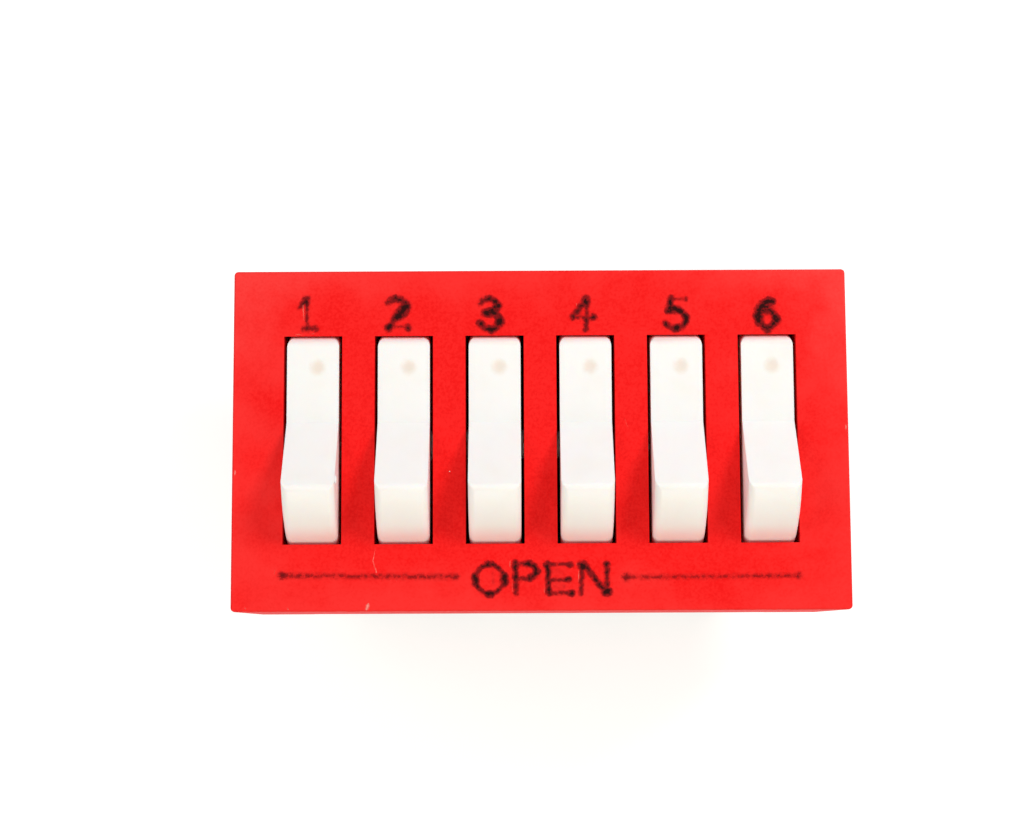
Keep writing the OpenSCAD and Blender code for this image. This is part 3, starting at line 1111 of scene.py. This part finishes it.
@dataclass
class Rockers:
    """The white rockers with their sprung contact balls, and the burr on the first one.

    Each spring is a rigid copy riding on its rocker; the share of its length it would keep, giving a little
    more than its ball travels, is worked out but not used.
    """

    poles: int
    pitch: float
    edge: float = 0.09
    edge_steps: int = 3
    give: float = 1.06
    burr_at: Place = (-5.605, -1.2, 7.24)
    burr_size: Place = (0.046, 0.11, 0.07)
    burr_lump: float = 0.25
    lump_rate: float = 1.7
    burr_rounds: int = 8
    burr_steps: int = 12

    def _coil(self, pole: int, steel: bpy.types.Material) -> None:
        """Takes over a rocker's spring as a rigid copy that rides on the rocker.

        Args:
            pole: Number of the rocker.
            steel: The spring's finish.
        """
        node = frame["nodes"][f"contact_spring_{pole}"]
        press = next(joint for joint in frame["joints"] if joint["name"] == f"ball_{pole}_press")
        axis = Vector(press["axis"])
        coil = bpy.data.objects.new(f"spring_coil_{pole}", node.data.copy())
        bpy.context.scene.collection.objects.link(coil)
        ends = sorted((vertex.co.copy() for vertex in coil.data.vertices), key=axis.dot)
        length = axis.dot(ends[-1] - ends[0])
        carry(coil, f"rocker_{pole}", steel)
        keep = 1 - self.give * press["range_m"][1] / length
        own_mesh(coil)
        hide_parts(node.name)

    def _burr(self) -> bpy.types.Object:
        """Makes the lump of flash that stands out beside the first rocker's ridge.

        Returns:
            A closed body.
        """

        def skin(way: Vector, reach: float) -> list[float]:
            """The point of the burr's skin in a direction, at a share of its size."""
            return [(c + s * reach * w) * MM for c, s, w in zip(self.burr_at, self.burr_size, way)]

        rounds, steps = self.burr_rounds, self.burr_steps
        points = []
        for i in range(1, rounds):
            for k in range(steps):
                tilt, turn = math.pi * i / rounds, 2 * math.pi * k / steps
                flat = math.sin(tilt)
                way = Vector((flat * math.cos(turn), flat * math.sin(turn), math.cos(tilt)))
                points.append(skin(way, 1 + self.burr_lump * noise.noise(way * self.lump_rate)))
        points += [skin(Vector((0, 0, end)), 1) for end in (1, -1)]
        faces = []
        for i in range(rounds - 2):
            for k in range(steps):
                a, b = i * steps + k, i * steps + (k + 1) % steps
                faces.append([a, a + steps, b + steps, b])
        last = (rounds - 2) * steps
        for k in range(steps):
            faces.append([len(points) - 2, k, (k + 1) % steps])
            faces.append([len(points) - 1, last + (k + 1) % steps, last + k])
        return mesh_object("rocker_1_burr", points, faces, smooth=True)

    def build(self) -> None:
        """Dresses the moving CAD nodes, takes over the springs and adds the burr."""
        nodes = frame["nodes"]
        white = WhiteMoulding(self.pitch).build()
        gold = Plating.GOLD.build()
        steel = Plating.STEEL.build()
        for i in range(1, self.poles + 1):
            dress(nodes[f"rocker_{i}"], white)
            dress(nodes[f"contact_ball_{i}"], gold)
            self._coil(i, steel)
            soften(nodes[f"rocker_{i}"], self.edge, self.edge_steps)
        carry(self._burr(), "rocker_1", white)


@dataclass
class Legend:
    """The stamped numerals above the slots, and the word with its two rules below them.

    The stamp was drawn with a single-stroke pen. Its ink gathered at the ends and the bends of the
    strokes, and it was pressed down harder at some numerals than at others.
    """

    poles: int
    face: float
    lift: float = 0.004
    stamp_pitch: float = 2.58
    stamp_x: float = -0.075
    numeral_y: float = 3.52
    numeral_drop: float = 0.012
    word_y: float = -3.885
    bleed: float = 2.1
    rule_bleed: float = 3.0
    fade: float = 1.25
    rule_fade: float = 1.5
    pressures: tuple[float, ...] = (0.82, 1.06, 1.20, 0.94, 1.10, 1.05)
    rule_pressure: float = 0.64

    def build(self) -> None:
        """Stamps the numerals, the word and the rules."""
        ink = StampedInk().build()
        height = self.face + self.lift
        stamps = []
        for i, pressure in zip(range(1, self.poles + 1), self.pressures):
            step = i - (self.poles + 1) / 2
            at = (self.stamp_x + step * self.stamp_pitch, self.numeral_y - step * self.numeral_drop)
            stamps.append(Film(f"numeral_{i}", NUMERALS[i], height, at, self.bleed, pressure, self.fade))
        at = (0.0, self.word_y)
        stamps.append(Film("legend_open", WORD, height, at, self.bleed, 1.0, self.fade))
        rules = Film("legend_rules", RULES, height, at, self.rule_bleed, self.rule_pressure, self.rule_fade)
        stamps.append(rules)
        for stamp in stamps:
            carry(stamp.build(), "housing", ink)


@dataclass
class Wear:
    """The scrapes, the nicks, the dust and the smudges on the cover, and the painted highlights beside the
    stamped strokes.
    """

    face: float
    lift: float = 0.006
    cell: float = 0.012

    def build(self) -> None:
        """Makes a film of each kind of mark."""
        for kind, strokes in MARKS.items():
            name = f"cover_{kind.name.lower()}"
            film = Film(name, strokes, self.face + self.lift, cell=self.cell)
            carry(film.build(), "housing", kind.build())


# ----------------------------------------------------------------------- studio


@dataclass(frozen=True)
class Lamp:
    """A large round lamp that shines at the part: its place, its width and its power in watts."""

    name: str
    place: Place
    size: float
    power: float
    colour: Rgb = (1.0, 1.0, 1.0)

    def build(self, scene: bpy.types.Scene) -> None:
        """Makes the lamp.

        Args:
            scene: The scene.
        """
        data = bpy.data.lights.new(self.name, "AREA")
        data.shape = "DISK"
        data.size = self.size * MM
        data.energy = self.power
        data.color = self.colour
        lamp = bpy.data.objects.new(self.name, data)
        scene.collection.objects.link(lamp)
        place = Vector(self.place) * MM
        turn = place.to_track_quat("Z", "Y").to_matrix().to_4x4()
        lamp.matrix_world = Matrix.Translation(place) @ turn


@dataclass
class Studio:
    """The camera, the lamps, the surround and the floor."""

    eye: Place = (-0.709, -5.424, 60.1)
    right: Place = (0.99999, -0.0045, -0.00176)
    down: Place = (-0.00467, -0.9933, -0.11545)
    ahead: Place = (-0.00123, 0.11545, -0.99331)
    lens: float = 68.465
    sensor: float = 36.0
    clip: Range = (1.0, 10000.0)
    lamps: tuple[Lamp, ...] = (
        Lamp("key", (54.0, 45.0, 68.0), 36.0, 0.0408),
        Lamp("side", (-62.0, 10.0, 66.0), 50.0, 0.0165),
        Lamp("front", (6.0, -72.0, 48.0), 60.0, 0.0225, (1.0, 0.89, 0.64)),
    )
    fill: float = 0.51
    floor_glow: float = 0.62
    glow_colour: Rgb = (0.98, 1.0, 0.985)
    floor_colour: Rgb = (0.60, 0.60, 0.59)
    floor_size: float = 170.0

    def build(self) -> None:
        """Sets up all of them."""
        scene = bpy.context.scene
        scene.view_settings.view_transform = "Standard"
        self._camera(scene)
        for lamp in self.lamps:
            lamp.build(scene)
        self._world(scene)
        self._floor()
        LOG.info("studio set with %d lamps", len(self.lamps))

    def _camera(self, scene: bpy.types.Scene) -> None:
        """Makes the camera, which looks down on the face from a little in front.

        Args:
            scene: The scene.
        """
        data = bpy.data.cameras.new("camera")
        data.lens = self.lens
        data.sensor_width = self.sensor
        data.clip_start, data.clip_end = (distance * MM for distance in self.clip)
        camera = bpy.data.objects.new("camera", data)
        scene.collection.objects.link(camera)
        rows = [self.right, [-v for v in self.down], [-v for v in self.ahead]]
        turn = Matrix(rows).transposed().to_4x4()
        camera.matrix_world = Matrix.Translation(Vector(self.eye) * MM) @ turn
        scene.camera = camera

    def _seen(self, g: Graph) -> Wire:
        """Tells the rays that show the background from those that it lights the part with.

        Args:
            g: The graph that needs to know.

        Returns:
            1 where the eye, a reflection or a clear body meets the background, and 0 for other light.
        """
        kinds = ("Camera", "Glossy", "Transmission")
        eye, glossy, clear = [g.node("ShaderNodeLightPath", out=f"Is {kind} Ray") for kind in kinds]
        return eye.larger(glossy).larger(clear)

    def _world(self, scene: bpy.types.Scene) -> None:
        """Makes a surround that lights softly and looks white.

        Args:
            scene: The scene.
        """
        scene.world = bpy.data.worlds.new("surround")
        g = Graph(scene.world)
        strength = self.fill + (1 - self.fill) * self._seen(g)
        sockets = {"Color": (1.0, 1.0, 1.0, 1.0), "Strength": strength}
        g.close("ShaderNodeOutputWorld", g.node("ShaderNodeBackground", {}, sockets))

    def _floor(self) -> None:
        """Makes the floor under the terminals' tips, pale enough to look white, and clear from below."""
        low = CAD_BOX[0].z
        half = self.floor_size / 2 * MM
        corners = [(-half, -half, low), (half, -half, low), (half, half, low), (-half, half, low)]
        floor = mesh_object("floor", corners, [(0, 1, 2, 3)])
        g = Graph.of("floor_paper")
        matte = g.node("ShaderNodeBsdfDiffuse", {}, {"Color": (*self.floor_colour, 1.0)})
        glow_sockets = {"Color": (*self.glow_colour, 1.0), "Strength": self._seen(g) * self.floor_glow}
        glow = g.node("ShaderNodeEmission", {}, glow_sockets)
        paper = g.node("ShaderNodeAddShader", {}, {0: matte, 1: glow})
        below = g.node("ShaderNodeNewGeometry", out="Backfacing")
        clear = g.node("ShaderNodeBsdfTransparent")
        surface = g.node("ShaderNodeMixShader", {}, {0: below, 1: paper, 2: clear})
        g.close("ShaderNodeOutputMaterial", surface)
        dress(floor, g.owner)


def main() -> None:
    """Builds the looks in order."""
    logging.basicConfig(level=logging.INFO, format="%(name)s: %(message)s")
    poles = sum(1 for name in frame["nodes"] if name.startswith("rocker_"))
    first, last = span("rocker_1"), span(f"rocker_{poles}")
    pitch = (last[0].x - first[0].x) / (poles - 1)
    face = span("cover")[1].z
    Housing(poles).build()
    Rockers(poles, pitch).build()
    Legend(poles, face).build()
    Wear(face).build()
    Studio().build()


if __name__ == "__main__":
    main()
